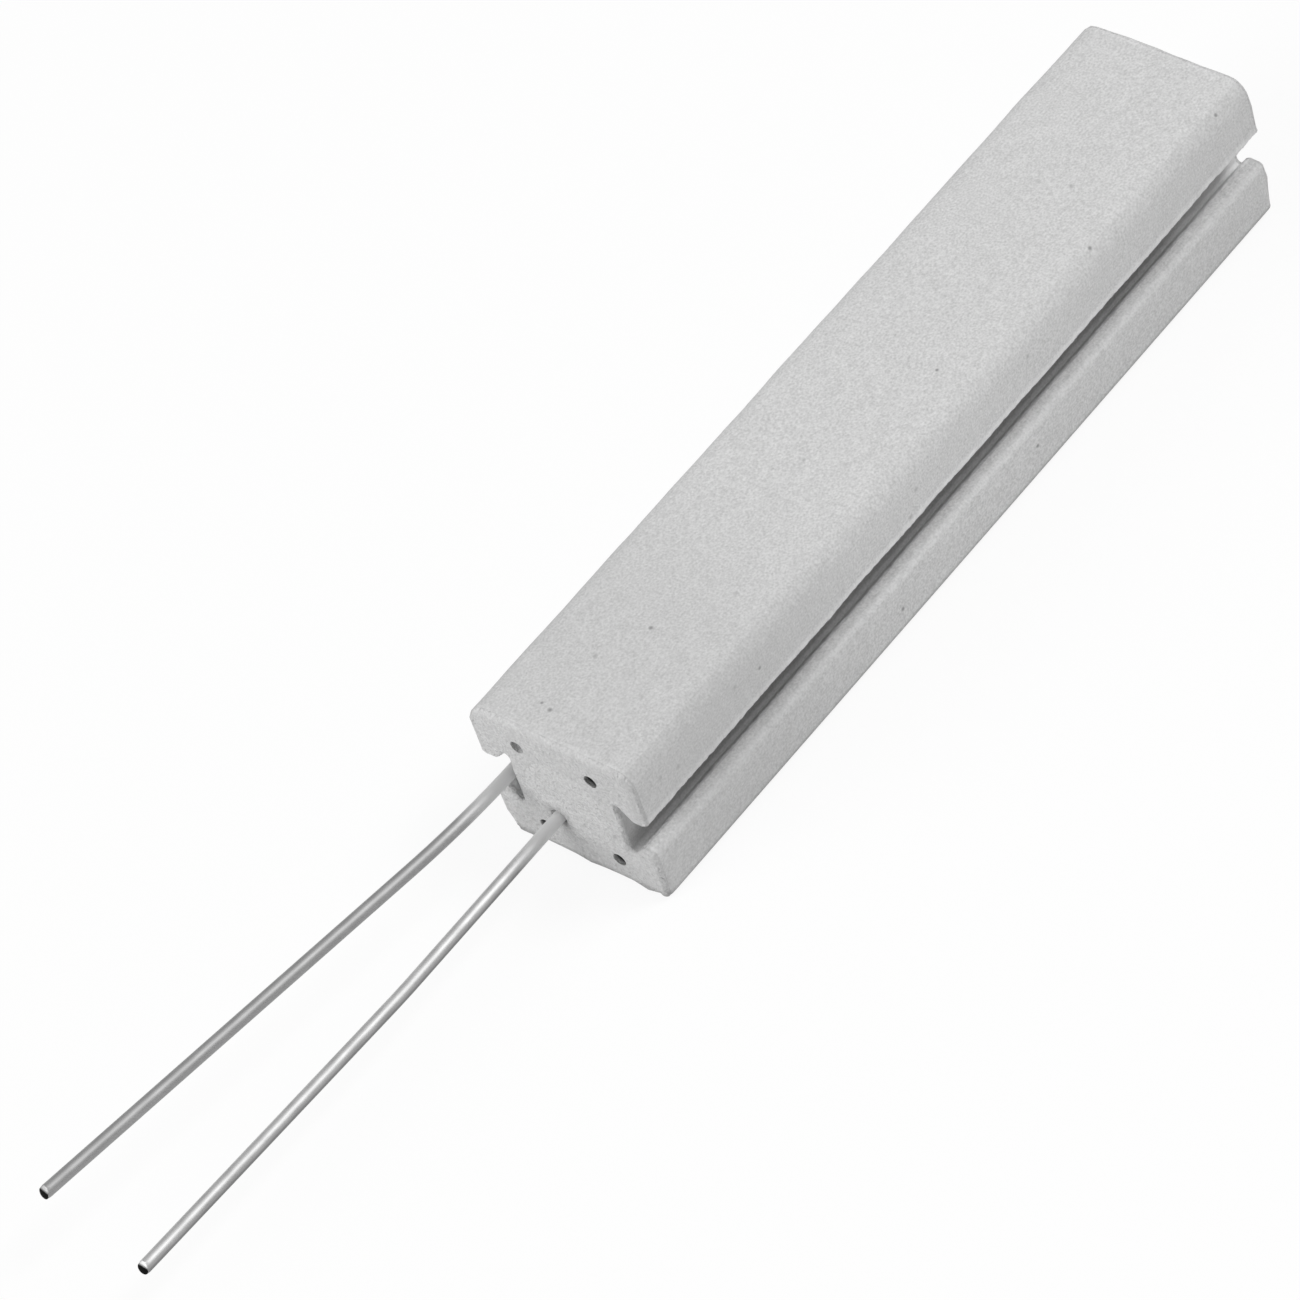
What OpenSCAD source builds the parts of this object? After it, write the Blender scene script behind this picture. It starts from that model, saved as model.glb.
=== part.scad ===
// Wirewound power resistor in an H-section ceramic case, with both leads at one end.
// +X runs along the case from the lead end to the far end, +Y to the side with the return lead, +Z up.
// The origin is the middle of the flat base that the case lies on. Lengths are in millimetres.

/* [Ceramic case] */
// Length of the case between its cut ends
body_len = 62; // [45:1:90]
// Width across the upper flange
body_w = 12.9; // [12.6:0.1:16]
// How far the lower flange stands back from the upper one on each side
foot_inset = 0.2; // [0:0.05:0.4]
// Height from the base to the top face
body_h = 11.5; // [11:0.1:15]
// Rounding of the two long top edges
top_edge_r = 1.3; // [0.4:0.1:1.8]
// Rounding of the two long bottom edges
bottom_edge_r = 0.9; // [0.5:0.1:1.5]
// Rounding of the edges round both ends
end_edge_r = 0.3; // [0.1:0.05:0.4]
// Diameter of the bore that holds the wound element
bore_d = 6.6; // [6.3:0.1:6.9]

/* [Side grooves] */
// Depth of each groove from the side of the upper flange
groove_depth = 2.35; // [1.9:0.05:2.6]
// Height of each groove at its floor, where it is widest
groove_h = 5; // [4.4:0.1:5.4]
// Height of the groove's mouth, between its lips
mouth_h = 2.6; // [2.2:0.1:3.2]
// Width of the flat land on each lip
lip_land = 1.15; // [1:0.05:1.3]
// How far the middle of the groove lies below the middle of the case
groove_drop = 0.15; // [0:0.05:0.4]
// Rounding of the lips' edges
lip_r = 0.45; // [0.2:0.05:0.5]
// Rounding of the groove's inner corners
root_r = 0.2; // [0.1:0.05:0.3]

/* [Corner holes] */
// Diameter of the four small holes along the case
hole_d = 0.9; // [0.6:0.1:1.2]
// Distance between the holes across the width
hole_pitch_w = 5.7; // [5.4:0.1:6.4]
// Distance between the holes over the height
hole_pitch_h = 7.2; // [7:0.1:7.6]

/* [Wound element] */
// Diameter of the glass-fibre core
core_d = 4; // [3.4:0.1:4.3]
// Diameter of the resistance wire
wire_d = 0.45; // [0.3:0.05:0.6]
// Number of turns in the winding
turns = 20; // [8:1:24]

/* [End caps] */
// Wall of the metal end caps
cap_wall = 0.5; // [0.3:0.05:0.65]
// Thickness of the closed end of a cap
cap_base = 0.5; // [0.3:0.1:1]
// How far each cap grips the core
cap_grip = 4; // [2:0.5:6]
// Cement between each cap and the end of the case
plug_len = 4.6; // [4.4:0.1:8]

/* [Leads] */
// Diameter of the leads
lead_d = 0.85; // [0.6:0.05:0.9]
// Free length of each lead past the end of the case
lead_len = 37.7; // [25:0.1:60]
// Radius of the leads' tight bends, to the centre line
bend_r = 1; // [0.7:0.1:1.2]
// Radius of the slight bends where the leads spread, to the centre line
splay_r = 70; // [20:5:120]
// Steepest slope of the first lead's crank inside the cement
crank_angle = 50; // [40:1:60]
// How far to the side of the bore's axis the first lead comes out
exit_side = 1.35; // [0:0.05:1.5]
// How far below the bore's axis the first lead comes out
exit_drop = 2; // [0:0.1:2.1]
// Angle at which the first lead spreads to the side
element_splay = 2.2; // [0:0.1:8]
// How far outside the case the first lead begins to spread
splay_outset = 13.6; // [0.2:0.1:20]
// Distance from the far end of the case to the return lead's loop, to its centre line
loop_stand = 1.2; // [1:0.1:2]
// Angle at which the return lead spreads outwards
return_splay = 8.3; // [0:0.1:14]
// How far inside the lead end of the case the return lead begins to spread
splay_inset = 1.5; // [0.5:0.1:4]
// Radius of the dimple in the cement where the first lead comes out
dimple_r = 0.6; // [0.5:0.05:0.8]
// Depth of that dimple
dimple_depth = 0.2; // [0.1:0.05:0.8]

/* [Fits] */
// Gap between pieces that are pressed or cemented together
fit_gap = 0.03; // [0.02:0.01:0.06]
// Gap between the winding and the core
winding_gap = 0.05; // [0.04:0.01:0.08]
// Gap between the return lead and the floor of its groove
groove_gap = 0.18; // [0.03:0.01:0.3]

/* [Hidden] */

$fn = 64;
arc_steps = 6;
step_angle = 90 / arc_steps;
wire_sides = 6;
rings_per_turn = 18;
joint_swell = 0.003;

half_len = body_len / 2;
half_w = body_w / 2;
foot_half = half_w - foot_inset;
axis_z = body_h / 2;
groove_z = axis_z - groove_drop;
web_half = half_w - groove_depth;
// The rounding round the ends takes at most this share of the section's own roundings, which it runs along.
end_share = 0.7;
end_r = min(end_edge_r, end_share * min(top_edge_r, bottom_edge_r, lip_r));
// The rounded form runs past each end by this hair, between its last two rings, and is cut off flat.
end_lap = end_r * (1 - (cos(step_angle) + cos(2 * step_angle)) / 2);

core_r = core_d / 2;
wire_r = wire_d / 2;
lead_r = lead_d / 2;
cap_face_x = half_len - plug_len;
core_half = cap_face_x - cap_base;
cap_rim_x = core_half - cap_grip;
cap_r = core_r + fit_gap + cap_wall;
coil_r = core_r + winding_gap + wire_r;
element_r = max(cap_r, coil_r + wire_r) + fit_gap;

// The first lead steps sideways from the cap to its exit by two equal bends with a slope between them.
exit_offset = norm([exit_side, exit_drop]);
exit_roll = atan2(exit_side, -exit_drop);
crank = min(crank_angle, acos(max(-1, 1 - exit_offset / (2 * bend_r))));
crank_slope = crank > 0 ? (exit_offset - 2 * bend_r * (1 - cos(crank))) / sin(crank) : 0;
crank_run = 2 * bend_r * sin(crank) + crank_slope * cos(crank);
crank_stub = (plug_len - crank_run) / 2;

return_y = web_half + groove_gap + lead_r;

// Straight stretches past the slight bends, so that both leads end the same distance from the case.
element_free = lead_len - splay_outset - splay_r * sin(element_splay);
return_free = lead_len + (splay_inset - splay_r * sin(return_splay)) / cos(return_splay);

// Direction from one corner of an outline to another.
function toward(from, to) = [to.x - from.x, to.y - from.y] / norm([to.x - from.x, to.y - from.y]);

// How an outline turns at corner i: the directions to the corners before and after it, half the angle between
// them, and 1 where the outline bulges or -1 where it is hollow. Outlines run counter-clockwise.
function corner_turn(corners, i) =
    let (
        n = len(corners),
        u = toward(corners[i], corners[(i + n - 1) % n]),
        v = toward(corners[i], corners[(i + 1) % n])
    )
    [u, v, acos(u * v) / 2, u.x * v.y - u.y * v.x > 0 ? -1 : 1];

// Points of a closed outline whose corners, given as [x, y, radius], are rounded by arcs.
function rounded(corners) = [
    for (i = [0 : len(corners) - 1])
        let (
            c = [corners[i].x, corners[i].y],
            r = corners[i].z,
            turn = corner_turn(corners, i),
            inward = (turn[0] + turn[1]) / norm(turn[0] + turn[1]),
            middle = c + inward * r / sin(turn[2]),
            start = c + turn[0] * r / tan(turn[2]) - middle,
            sweep = turn[3] * (180 - 2 * turn[2]),
            steps = ceil(abs(sweep) / step_angle)
        )
        for (k = [0 : steps])
            let (a = sweep * k / steps)
            middle + [start.x * cos(a) - start.y * sin(a), start.x * sin(a) + start.y * cos(a)]
];

// The same corners with the outline drawn in by a distance, its arcs kept concentric.
function drawn_in(corners, distance) = [
    for (i = [0 : len(corners) - 1])
        let (
            turn = corner_turn(corners, i),
            inward = turn[3] * (turn[0] + turn[1]) / norm(turn[0] + turn[1]),
            shift = inward * distance / sin(turn[2])
        )
        [corners[i].x + shift.x, corners[i].y + shift.y, corners[i].z - turn[3] * distance]
];

// Right half of the H section, from the base round to the top. The groove widens behind its two lips.
function half_section() = [
    [foot_half, 0, bottom_edge_r],
    [foot_half, groove_z - mouth_h / 2, lip_r],
    [foot_half - lip_land, groove_z - mouth_h / 2, lip_r],
    [web_half, groove_z - groove_h / 2, root_r],
    [web_half, groove_z + groove_h / 2, root_r],
    [half_w - lip_land, groove_z + mouth_h / 2, lip_r],
    [half_w, groove_z + mouth_h / 2, lip_r],
    [half_w, body_h, top_edge_r]
];

function mirrored(corners) = [
    for (i = [len(corners) - 1 : -1 : 0]) [-corners[i].x, corners[i].y, corners[i].z]
];

// A solid of revolution's axis turned from +Z to +X, at the height of the bore.
module along_axis() {
    translate([0, 0, axis_z])
        rotate([0, 90, 0])
            children();
}

// A round wire that follows straight stretches and bends, starting along +Z.
// Each step is [length, roll, bend, radius]: a straight length, then a bend in the plane that roll turns.
// A ball a hair wider than the wire makes each bend and the stretch after it one solid.
module bent_wire(steps, r, i = 0) {
    if (i < len(steps)) {
        length = steps[i][0];
        bend = steps[i][2];
        radius = steps[i][3];
        rotate([0, 0, steps[i][1]]) {
            cylinder(h = length, r = r);
            if (bend > 0)
                translate([radius, 0, length])
                    rotate([90, 0, 180])
                        rotate_extrude(angle = bend)
                            translate([radius, 0])
                                circle(r);
            translate([radius * (1 - cos(bend)), 0, length + radius * sin(bend)])
                rotate([0, bend, 0]) {
                    if (bend > 0)
                        sphere(r + joint_swell);
                    bent_wire(steps, r, i + 1);
                }
        }
    }
}

// From the near cap through the cement, cranked to its exit, then free.
// A path for a clearance hole starts inside the cap, by the length of inset.
module element_lead_path(r, inset = 0) {
    translate([inset - cap_face_x, 0, axis_z])
        rotate([0, -90, 0])
            bent_wire([
                [inset + crank_stub, exit_roll, crank, bend_r],
                [crank_slope, 180, crank, bend_r],
                [crank_stub + splay_outset, -90 - exit_roll, element_splay, splay_r],
                [element_free, 0, 0, 0]
            ], r);
}

// From the far cap out of the far end, round into the groove, back along it and free.
module return_lead_path(r, inset = 0) {
    translate([cap_face_x - inset, 0, axis_z])
        rotate([0, 90, 0])
            bent_wire([
                [inset + plug_len + loop_stand - bend_r, 90, 90, bend_r],
                [return_y - 2 * bend_r, 0, 90, bend_r],
                [body_len + loop_stand - bend_r - splay_inset, 180, return_splay, splay_r],
                [return_free, 0, 0, 0]
            ], r);
}

// The H section drawn along the case, with the edges round both ends rounded off.
module case_form() {
    section = concat(half_section(), mirrored(half_section()));
    rings = [
        for (side = [-1, 1], k = [1 : arc_steps])
            let (
                a = step_angle * (side < 0 ? k : arc_steps + 1 - k),
                x = side * (half_len + end_lap - end_r * (1 - cos(a)))
            )
            [for (p = rounded(drawn_in(section, end_r * (1 - sin(a))))) [x, p.x, p.y]]
    ];
    n = len(rings[0]);
    last = len(rings) - 1;
    intersection() {
        polyhedron(
            [for (ring = rings, p = ring) p],
            [
                [for (k = [0 : n - 1]) k],
                for (i = [0 : last - 1], k = [0 : n - 1])
                    [i * n + k, (i + 1) * n + k, (i + 1) * n + (k + 1) % n, i * n + (k + 1) % n],
                [for (k = [n - 1 : -1 : 0]) last * n + k]
            ]
        );
        translate([0, 0, axis_z])
            cube([body_len, 2 * body_w, 2 * body_h], center = true);
    }
}

// Extruded and fired ceramic body: an H section with a lipped groove along each side, a bore and small holes.
module ceramic_case() {
    color("gainsboro")
        difference() {
            case_form();
            along_axis()
                cylinder(h = body_len + 2, d = bore_d, center = true);
            for (y = [-1, 1], z = [-1, 1])
                translate([0, y * hole_pitch_w / 2, z * hole_pitch_h / 2])
                    along_axis()
                        cylinder(h = body_len + 2, d = hole_d, center = true);
        }
}

// Cement cast round the element, flush with both ends of the case.
module cement_filling() {
    color("lightgray")
        difference() {
            along_axis()
                cylinder(h = body_len, r = bore_d / 2 - fit_gap, center = true);
            along_axis()
                cylinder(h = 2 * cap_face_x, r = element_r, center = true);
            element_lead_path(lead_r + fit_gap, cap_base);
            return_lead_path(lead_r + fit_gap, cap_base);
            translate([-half_len, exit_side, axis_z - exit_drop])
                rotate([0, 90, 0])
                    cylinder(h = 2 * dimple_depth, r1 = 2 * dimple_r - lead_r, r2 = lead_r, center = true);
        }
}

// Glass-fibre core that carries the winding.
module core_rod() {
    color("palegoldenrod")
        along_axis()
            cylinder(h = 2 * core_half, r = core_r, center = true);
}

// Helix of resistance wire between the rims of the two caps.
module resistance_wire() {
    rings = turns * rings_per_turn;
    coil_half = cap_rim_x - wire_r - fit_gap;
    rise = atan2(2 * coil_half / turns, 360 * coil_r * PI / 180);
    points = [
        for (i = [0 : rings])
            let (
                a = 360 * i / rings_per_turn,
                out = [0, cos(a), sin(a)],
                across = [cos(rise), sin(rise) * sin(a), -sin(rise) * cos(a)],
                middle = [-coil_half + 2 * coil_half * i / rings, 0, axis_z] + coil_r * out
            )
            for (k = [0 : wire_sides - 1])
                middle + wire_r * (cos(360 * k / wire_sides) * out + sin(360 * k / wire_sides) * across)
    ];
    sides = [
        for (i = [0 : rings - 1], k = [0 : wire_sides - 1])
            let (next = (k + 1) % wire_sides)
            [i * wire_sides + k, i * wire_sides + next, (i + 1) * wire_sides + next, (i + 1) * wire_sides + k]
    ];
    first = [for (k = [wire_sides - 1 : -1 : 0]) k];
    last = [for (k = [0 : wire_sides - 1]) rings * wire_sides + k];
    color("dimgray")
        polyhedron(points, concat(sides, [first, last]));
}

// Cup pressed over one end of the core; side is -1 at the lead end and 1 at the far end.
module end_cap(side) {
    color("silver")
        difference() {
            translate([side * (cap_face_x + cap_rim_x) / 2, 0, 0])
                along_axis()
                    cylinder(h = cap_grip + cap_base, r = cap_r, center = true);
            along_axis()
                cylinder(h = 2 * core_half, r = core_r + fit_gap, center = true);
        }
}

module near_end_cap() {
    end_cap(-1);
}

module far_end_cap() {
    end_cap(1);
}

// Tinned wire from the near cap.
module element_lead() {
    color("silver")
        element_lead_path(lead_r);
}

// Tinned wire from the far cap, brought back along the groove.
module return_lead() {
    color("silver")
        return_lead_path(lead_r);
}

ceramic_case();
cement_filling();
core_rod();
resistance_wire();
near_end_cap();
far_end_cap();
element_lead();
return_lead();
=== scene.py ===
# Looks of a wirewound power resistor: a wound core between two caps, its leads and its ceramic case.
# The pieces follow in the order in which such a resistor is put together. Lengths are in metres.
from math import cos, hypot, pi, radians, sin, tan

import bpy
from mathutils import Euler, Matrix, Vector


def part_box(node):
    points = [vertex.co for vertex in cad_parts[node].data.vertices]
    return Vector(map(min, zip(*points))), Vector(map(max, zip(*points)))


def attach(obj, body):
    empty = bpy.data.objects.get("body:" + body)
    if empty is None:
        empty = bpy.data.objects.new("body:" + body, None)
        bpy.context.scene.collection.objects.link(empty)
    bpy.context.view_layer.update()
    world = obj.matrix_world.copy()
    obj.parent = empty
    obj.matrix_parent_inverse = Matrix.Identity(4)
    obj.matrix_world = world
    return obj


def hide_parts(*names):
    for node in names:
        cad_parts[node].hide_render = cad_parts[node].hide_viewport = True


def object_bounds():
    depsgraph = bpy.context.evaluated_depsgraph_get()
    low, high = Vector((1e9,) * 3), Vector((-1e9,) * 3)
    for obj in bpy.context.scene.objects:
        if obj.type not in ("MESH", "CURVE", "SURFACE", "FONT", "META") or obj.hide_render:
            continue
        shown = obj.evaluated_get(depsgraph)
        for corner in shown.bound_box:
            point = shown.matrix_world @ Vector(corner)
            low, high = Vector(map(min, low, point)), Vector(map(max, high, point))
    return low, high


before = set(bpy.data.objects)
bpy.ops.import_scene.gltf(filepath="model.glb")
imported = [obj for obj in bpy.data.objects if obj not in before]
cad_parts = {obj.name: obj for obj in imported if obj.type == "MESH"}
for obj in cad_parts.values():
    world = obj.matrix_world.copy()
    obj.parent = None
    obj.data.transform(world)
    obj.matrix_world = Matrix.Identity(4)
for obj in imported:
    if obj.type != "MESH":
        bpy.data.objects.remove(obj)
cad_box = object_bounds()
mm = 0.001

# Core
# A rod of glass-fibre yarn set in resin, drawn and cut to length. It carries the winding, and the caps grip
# its two ends.


def put(tree, kind, inputs=(), **settings):
    """Adds a node to a tree. Each input takes a value or another node's output."""
    node = tree.nodes.new(kind)
    for name, value in settings.items():
        setattr(node, name, value)
    for name, value in dict(inputs).items():
        if isinstance(value, bpy.types.NodeSocket):
            tree.links.new(value, node.inputs[name])
        else:
            node.inputs[name].default_value = value
    return node


def maths(tree, operation, *values):
    return put(tree, "ShaderNodeMath", dict(enumerate(values)), operation=operation).outputs[0]


def vector_maths(tree, operation, *values):
    node = put(tree, "ShaderNodeVectorMath", dict(enumerate(values)), operation=operation)
    return node.outputs["Value" if operation == "DISTANCE" else "Vector"]


def noise(tree, vector, size, detail=2.0):
    """Noise whose patches are about this size."""
    made = put(tree, "ShaderNodeTexNoise", {"Vector": vector, "Scale": 1 / size, "Detail": detail})
    return made.outputs["Fac"]


def span(tree, value, low, high):
    """A value from 0 to 1 spread between low and high."""
    return put(tree, "ShaderNodeMapRange", {"Value": value, "To Min": low, "To Max": high}).outputs["Result"]


def tones(tree, factor, dark, light):
    """Grey or colour between two tones."""
    mixed = put(tree, "ShaderNodeMix", data_type="RGBA")
    tree.links.new(factor, mixed.inputs["Factor"])
    mixed.inputs[6].default_value = (*dark, 1)
    mixed.inputs[7].default_value = (*light, 1)
    return mixed.outputs[2]


def new_finish(name, metallic=0.0, specular=0.5):
    """A material, its node tree and its shader."""
    material = bpy.data.materials.new(name)
    material.use_nodes = True
    shader = material.node_tree.nodes["Principled BSDF"]
    shader.inputs["Metallic"].default_value = metallic
    shader.inputs["Specular IOR Level"].default_value = specular
    return material, material.node_tree, shader


def relief(tree, shader, height, depth):
    """Raises and lowers the surface by a height from 0 to 1, over this depth."""
    bump = put(tree, "ShaderNodeBump", {"Height": height, "Distance": depth})
    for link in shader.inputs["Normal"].links:
        tree.links.new(link.from_socket, bump.inputs["Normal"])
    tree.links.new(bump.outputs["Normal"], shader.inputs["Normal"])


def dress(node, material):
    """Gives a CAD node its finish."""
    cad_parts[node].data.materials.clear()
    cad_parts[node].data.materials.append(material)


fibre_run = 6 * mm
fibre_width = 0.12 * mm
fibre_dark = (0.42, 0.38, 0.25)
fibre_light = (0.66, 0.62, 0.48)
fibre_relief = 0.03 * mm
fibre_roughness = (0.45, 0.7)

glass_fibre, tree, shader = new_finish("glass_fibre_rod")
place = put(tree, "ShaderNodeTexCoord").outputs["Object"]
strands = vector_maths(tree, "DIVIDE", place, (fibre_run, fibre_width, fibre_width))
strand_tone = noise(tree, strands, 1.0, 3.0)
tree.links.new(tones(tree, strand_tone, fibre_dark, fibre_light), shader.inputs["Base Color"])
tree.links.new(span(tree, strand_tone, *fibre_roughness), shader.inputs["Roughness"])
relief(tree, shader, strand_tone, fibre_relief)
dress("core_rod", glass_fibre)

# Resistance wire
# Drawn nickel-chromium wire, wound on the core in one open layer from cap to cap. Its oxide makes it dull
# and dark.

wire_d = 0.45 * mm
winding_gap = 0.05 * mm
winding_turns = 20
rings_per_turn = 48
wire_sides = 10


def new_tree(name, inputs):
    """A geometry node tree with named inputs, and its input and output nodes."""
    made = bpy.data.node_groups.new(name, "GeometryNodeTree")
    made.interface.new_socket("Geometry", in_out="INPUT", socket_type="NodeSocketGeometry")
    for label, kind in inputs.items():
        made.interface.new_socket(label, in_out="INPUT", socket_type="NodeSocket" + kind)
    made.interface.new_socket("Geometry", in_out="OUTPUT", socket_type="NodeSocketGeometry")
    return made, made.nodes.new("NodeGroupInput").outputs, made.nodes.new("NodeGroupOutput").inputs


def finish_tree(tree, geometry, material, output):
    """Ends a tree: real geometry, smooth, in its material."""
    real = put(tree, "GeometryNodeRealizeInstances", {"Geometry": geometry})
    smooth = put(tree, "GeometryNodeSetShadeSmooth", {"Geometry": real.outputs[0]})
    made = put(tree, "GeometryNodeSetMaterial", {"Geometry": smooth.outputs[0], "Material": material})
    tree.links.new(made.outputs[0], output["Geometry"])


def grow(name, start, tree, values, crease=40):
    """Runs a tree on a starting mesh and keeps what it makes as a plain mesh."""
    piece = bpy.data.objects.new(name, start)
    bpy.context.scene.collection.objects.link(piece)
    modifier = piece.modifiers.new("shape", "NODES")
    modifier.node_group = tree
    for socket in tree.interface.items_tree:
        if socket.in_out == "INPUT" and socket.name in values:
            modifier[socket.identifier] = values[socket.name]
    graph = bpy.context.evaluated_depsgraph_get()
    made = bpy.data.meshes.new_from_object(piece.evaluated_get(graph))
    piece.modifiers.remove(modifier)
    made.name = name
    piece.data = made
    made.set_sharp_from_angle(angle=radians(crease))
    return piece


def seat(piece, node):
    """The piece stands for a CAD node: it hangs under the root body, and the node is hidden."""
    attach(piece, "root")
    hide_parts(node)


def named(tree, name, kind="FLOAT"):
    made = put(tree, "GeometryNodeInputNamedAttribute", {"Name": name}, data_type=kind)
    return made.outputs["Attribute"]


def keep(tree, geometry, name, value, kind="FLOAT", domain="POINT"):
    """Stores a value on each point or face under a name."""
    made = put(tree, "GeometryNodeStoreNamedAttribute",
               {"Geometry": geometry, "Name": name, "Value": value}, data_type=kind, domain=domain)
    return made.outputs["Geometry"]


def axes(tree, vector):
    """The x, y and z of a vector."""
    return put(tree, "ShaderNodeSeparateXYZ", {0: vector}).outputs


def round_wire(tree, path, radius, sides):
    """Sweeps a round wire along a path. Its straightened attribute has the place along it and across it."""
    along = put(tree, "GeometryNodeSplineParameter").outputs["Length"]
    path = keep(tree, path, "along", along)
    ring = put(tree, "GeometryNodeCurvePrimitiveCircle", {"Resolution": sides, "Radius": radius})
    across = put(tree, "GeometryNodeInputPosition").outputs[0]
    ring = keep(tree, ring.outputs["Curve"], "across", across, "FLOAT_VECTOR")
    swept = put(tree, "GeometryNodeCurveToMesh", {"Curve": path, "Profile Curve": ring, "Fill Caps": True})
    apart = axes(tree, named(tree, "across", "FLOAT_VECTOR"))
    unrolled = put(tree, "ShaderNodeCombineXYZ", {0: named(tree, "along"), 1: apart[0], 2: apart[1]})
    return keep(tree, swept.outputs["Mesh"], "straightened", unrolled.outputs[0], "FLOAT_VECTOR")


def metal_marks():
    """Shared effect: fine lengthwise lines and wide dull patches, as on drawn or plated metal."""
    group = bpy.data.node_groups.new("metal_marks", "ShaderNodeTree")
    group.interface.new_socket("Place", in_out="INPUT", socket_type="NodeSocketVector")
    group.interface.new_socket("Line Size", in_out="INPUT", socket_type="NodeSocketVector")
    group.interface.new_socket("Patch Size", in_out="INPUT", socket_type="NodeSocketVector")
    group.interface.new_socket("Lines", in_out="OUTPUT", socket_type="NodeSocketFloat")
    group.interface.new_socket("Patches", in_out="OUTPUT", socket_type="NodeSocketFloat")
    given = group.nodes.new("NodeGroupInput").outputs
    result = group.nodes.new("NodeGroupOutput").inputs
    lines = vector_maths(group, "DIVIDE", given["Place"], given["Line Size"])
    patches = vector_maths(group, "DIVIDE", given["Place"], given["Patch Size"])
    group.links.new(noise(group, lines, 1.0, 3.0), result["Lines"])
    group.links.new(noise(group, patches, 1.0, 2.0), result["Patches"])
    return group


def metal_finish(name, place, line_size, patch_size, dark, light, roughness, line_relief):
    """Metal with the shared marks: patches set the tone, lines the roughness and a slight relief."""
    material, tree, shader = new_finish(name, metallic=1.0)
    source = place(tree)
    marks = put(tree, "ShaderNodeGroup", node_tree=bpy.data.node_groups["metal_marks"])
    tree.links.new(source, marks.inputs["Place"])
    marks.inputs["Line Size"].default_value = line_size
    marks.inputs["Patch Size"].default_value = patch_size
    tree.links.new(tones(tree, marks.outputs["Patches"], dark, light), shader.inputs["Base Color"])
    tree.links.new(span(tree, marks.outputs["Lines"], *roughness), shader.inputs["Roughness"])
    relief(tree, shader, marks.outputs["Lines"], line_relief)
    return material, tree, shader


def along_wire(tree):
    return put(tree, "ShaderNodeAttribute", attribute_name="straightened").outputs["Vector"]


def in_object(tree):
    return put(tree, "ShaderNodeTexCoord").outputs["Object"]


metal_marks()
oxide_dark = (0.16, 0.15, 0.14)
oxide_light = (0.36, 0.34, 0.32)
oxide_roughness = (0.3, 0.6)
oxide_line = (3 * mm, 0.04 * mm, 0.04 * mm)
oxide_patch = (2 * mm, 0.5 * mm, 0.5 * mm)
drawn_relief = 0.004 * mm
resistance_alloy, _, _ = metal_finish(
    "oxidised_alloy_wire", along_wire, oxide_line, oxide_patch, oxide_dark, oxide_light, oxide_roughness,
    drawn_relief)

core_low, core_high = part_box("core_rod")
wire_low, wire_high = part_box("resistance_wire")
axis_z = (core_low.z + core_high.z) / 2
coil_r = (core_high.z - core_low.z) / 2 + winding_gap + wire_d / 2

tree, given, result = new_tree("wound_wire", {
    "Coil Radius": "Float", "Turns": "Float", "Start": "Float", "Run": "Float", "Axis Height": "Float",
    "Wire Radius": "Float", "Sides": "Int", "Rings per Turn": "Int", "Material": "Material"})
helix = put(tree, "GeometryNodeCurveSpiral", {
    "Resolution": given["Rings per Turn"], "Rotations": given["Turns"], "Start Radius": given["Coil Radius"],
    "End Radius": given["Coil Radius"], "Height": given["Run"]})
corner = put(tree, "ShaderNodeCombineXYZ", {0: given["Start"], 2: given["Axis Height"]})
laid = put(tree, "GeometryNodeTransform", {
    "Geometry": helix.outputs[0], "Translation": corner.outputs[0], "Rotation": Euler((pi / 2, 0, pi / 2))})
wound = round_wire(tree, laid.outputs[0], given["Wire Radius"], given["Sides"])
finish_tree(tree, wound, given["Material"], result)

resistance_wire = grow("wound_resistance_wire", bpy.data.meshes.new("winding_start"), tree, {
    "Coil Radius": coil_r, "Turns": float(winding_turns), "Start": wire_low.x,
    "Run": wire_high.x - wire_low.x, "Axis Height": axis_z, "Wire Radius": wire_d / 2, "Sides": wire_sides,
    "Rings per Turn": rings_per_turn, "Material": resistance_alloy})
seat(resistance_wire, "resistance_wire")

# End caps
# Cups deep-drawn from thin plated steel and pressed over the ends of the core, where they clamp the wire.
# Each lead is welded to the middle of its cap.

cap_dark = (0.46, 0.46, 0.45)
cap_light = (0.66, 0.66, 0.65)
cap_roughness = (0.25, 0.5)
cap_line = (1.5 * mm, 0.05 * mm, 0.05 * mm)
cap_patch = (0.8 * mm, 0.8 * mm, 0.8 * mm)
cap_metal, _, _ = metal_finish(
    "drawn_cap_steel", in_object, cap_line, cap_patch, cap_dark, cap_light, cap_roughness, drawn_relief)
for cap in ("near_end_cap", "far_end_cap"):
    dress(cap, cap_metal)

# Leads
# Tinned copper wire. One lead cranks down inside the cement and comes out of the end face, and the other goes
# out of the far end and comes back along a side groove. Both are snipped to the same length.

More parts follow.
